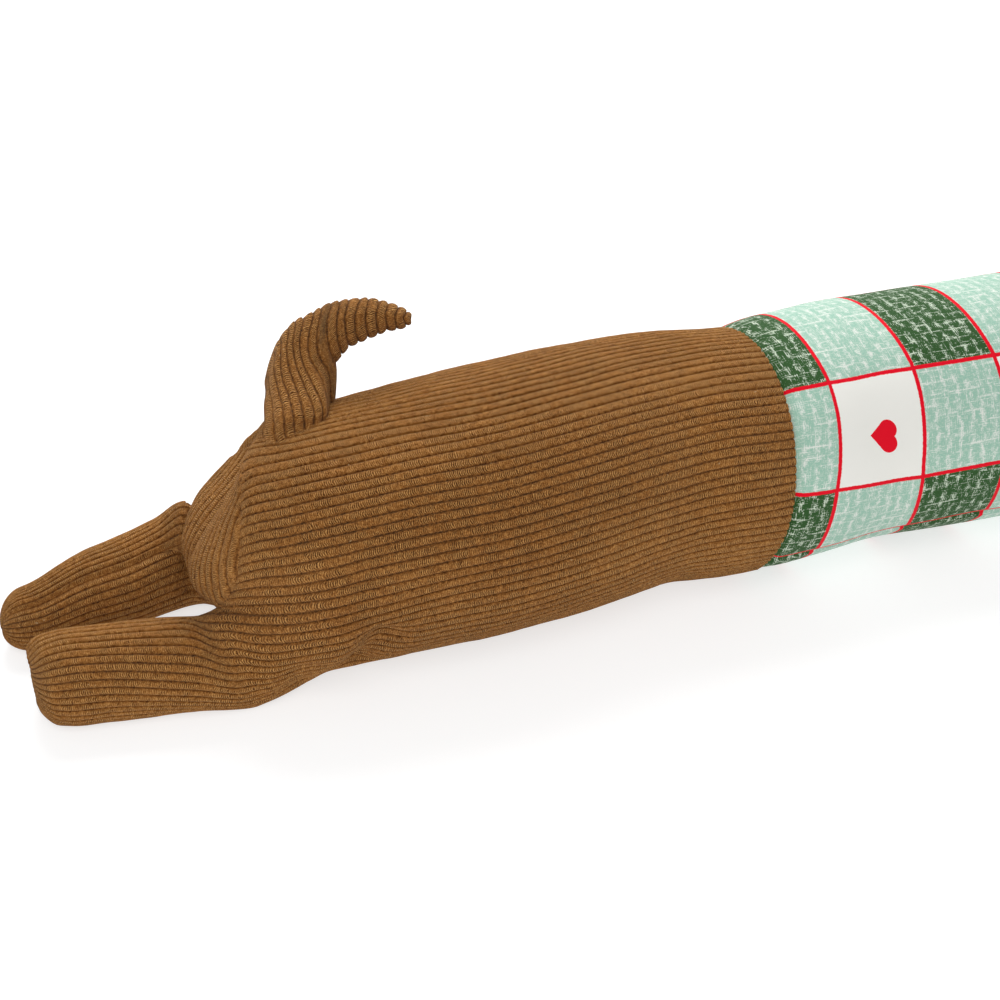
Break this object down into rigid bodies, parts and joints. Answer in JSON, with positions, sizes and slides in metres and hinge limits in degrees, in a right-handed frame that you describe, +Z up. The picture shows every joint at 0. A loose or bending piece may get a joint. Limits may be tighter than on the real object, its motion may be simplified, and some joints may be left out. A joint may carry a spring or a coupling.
{
  "type": "draught excluder",
  "caption": "Long stuffed draught excluder in the form of a lying dog, ribbed cloth body with a printed tube round its middle.",
  "frame": {"origin": "middle of the underside, on the floor", "axes": "+X along the body towards the head, +Z up, near side with the printed seam at -Y"},
  "size_m": [0.9498, 0.2138, 0.1643],
  "materials": {
    "cord_cloth": "chunky brown corduroy, soft and matte",
    "printed_cotton": "printed cotton, green and white squares with thin red lines and small hearts",
    "button": "dark plastic, slightly glossy"
  },
  "bodies": {
    "root": {"rump_side_near": "cord_cloth", "rump_side_far": "cord_cloth", "seat_panel": "cord_cloth", "inner_leg_near": "cord_cloth", "inner_leg_far": "cord_cloth", "tail": "cord_cloth", "coat_tube": "printed_cotton", "front_side_near": "cord_cloth", "front_side_far": "cord_cloth", "front_leg_near": "cord_cloth", "front_leg_far": "cord_cloth", "ear_near": "cord_cloth", "ear_far": "cord_cloth", "eye_near": "button", "eye_far": "button", "nose": "button"}
  },
  "joints": []
}
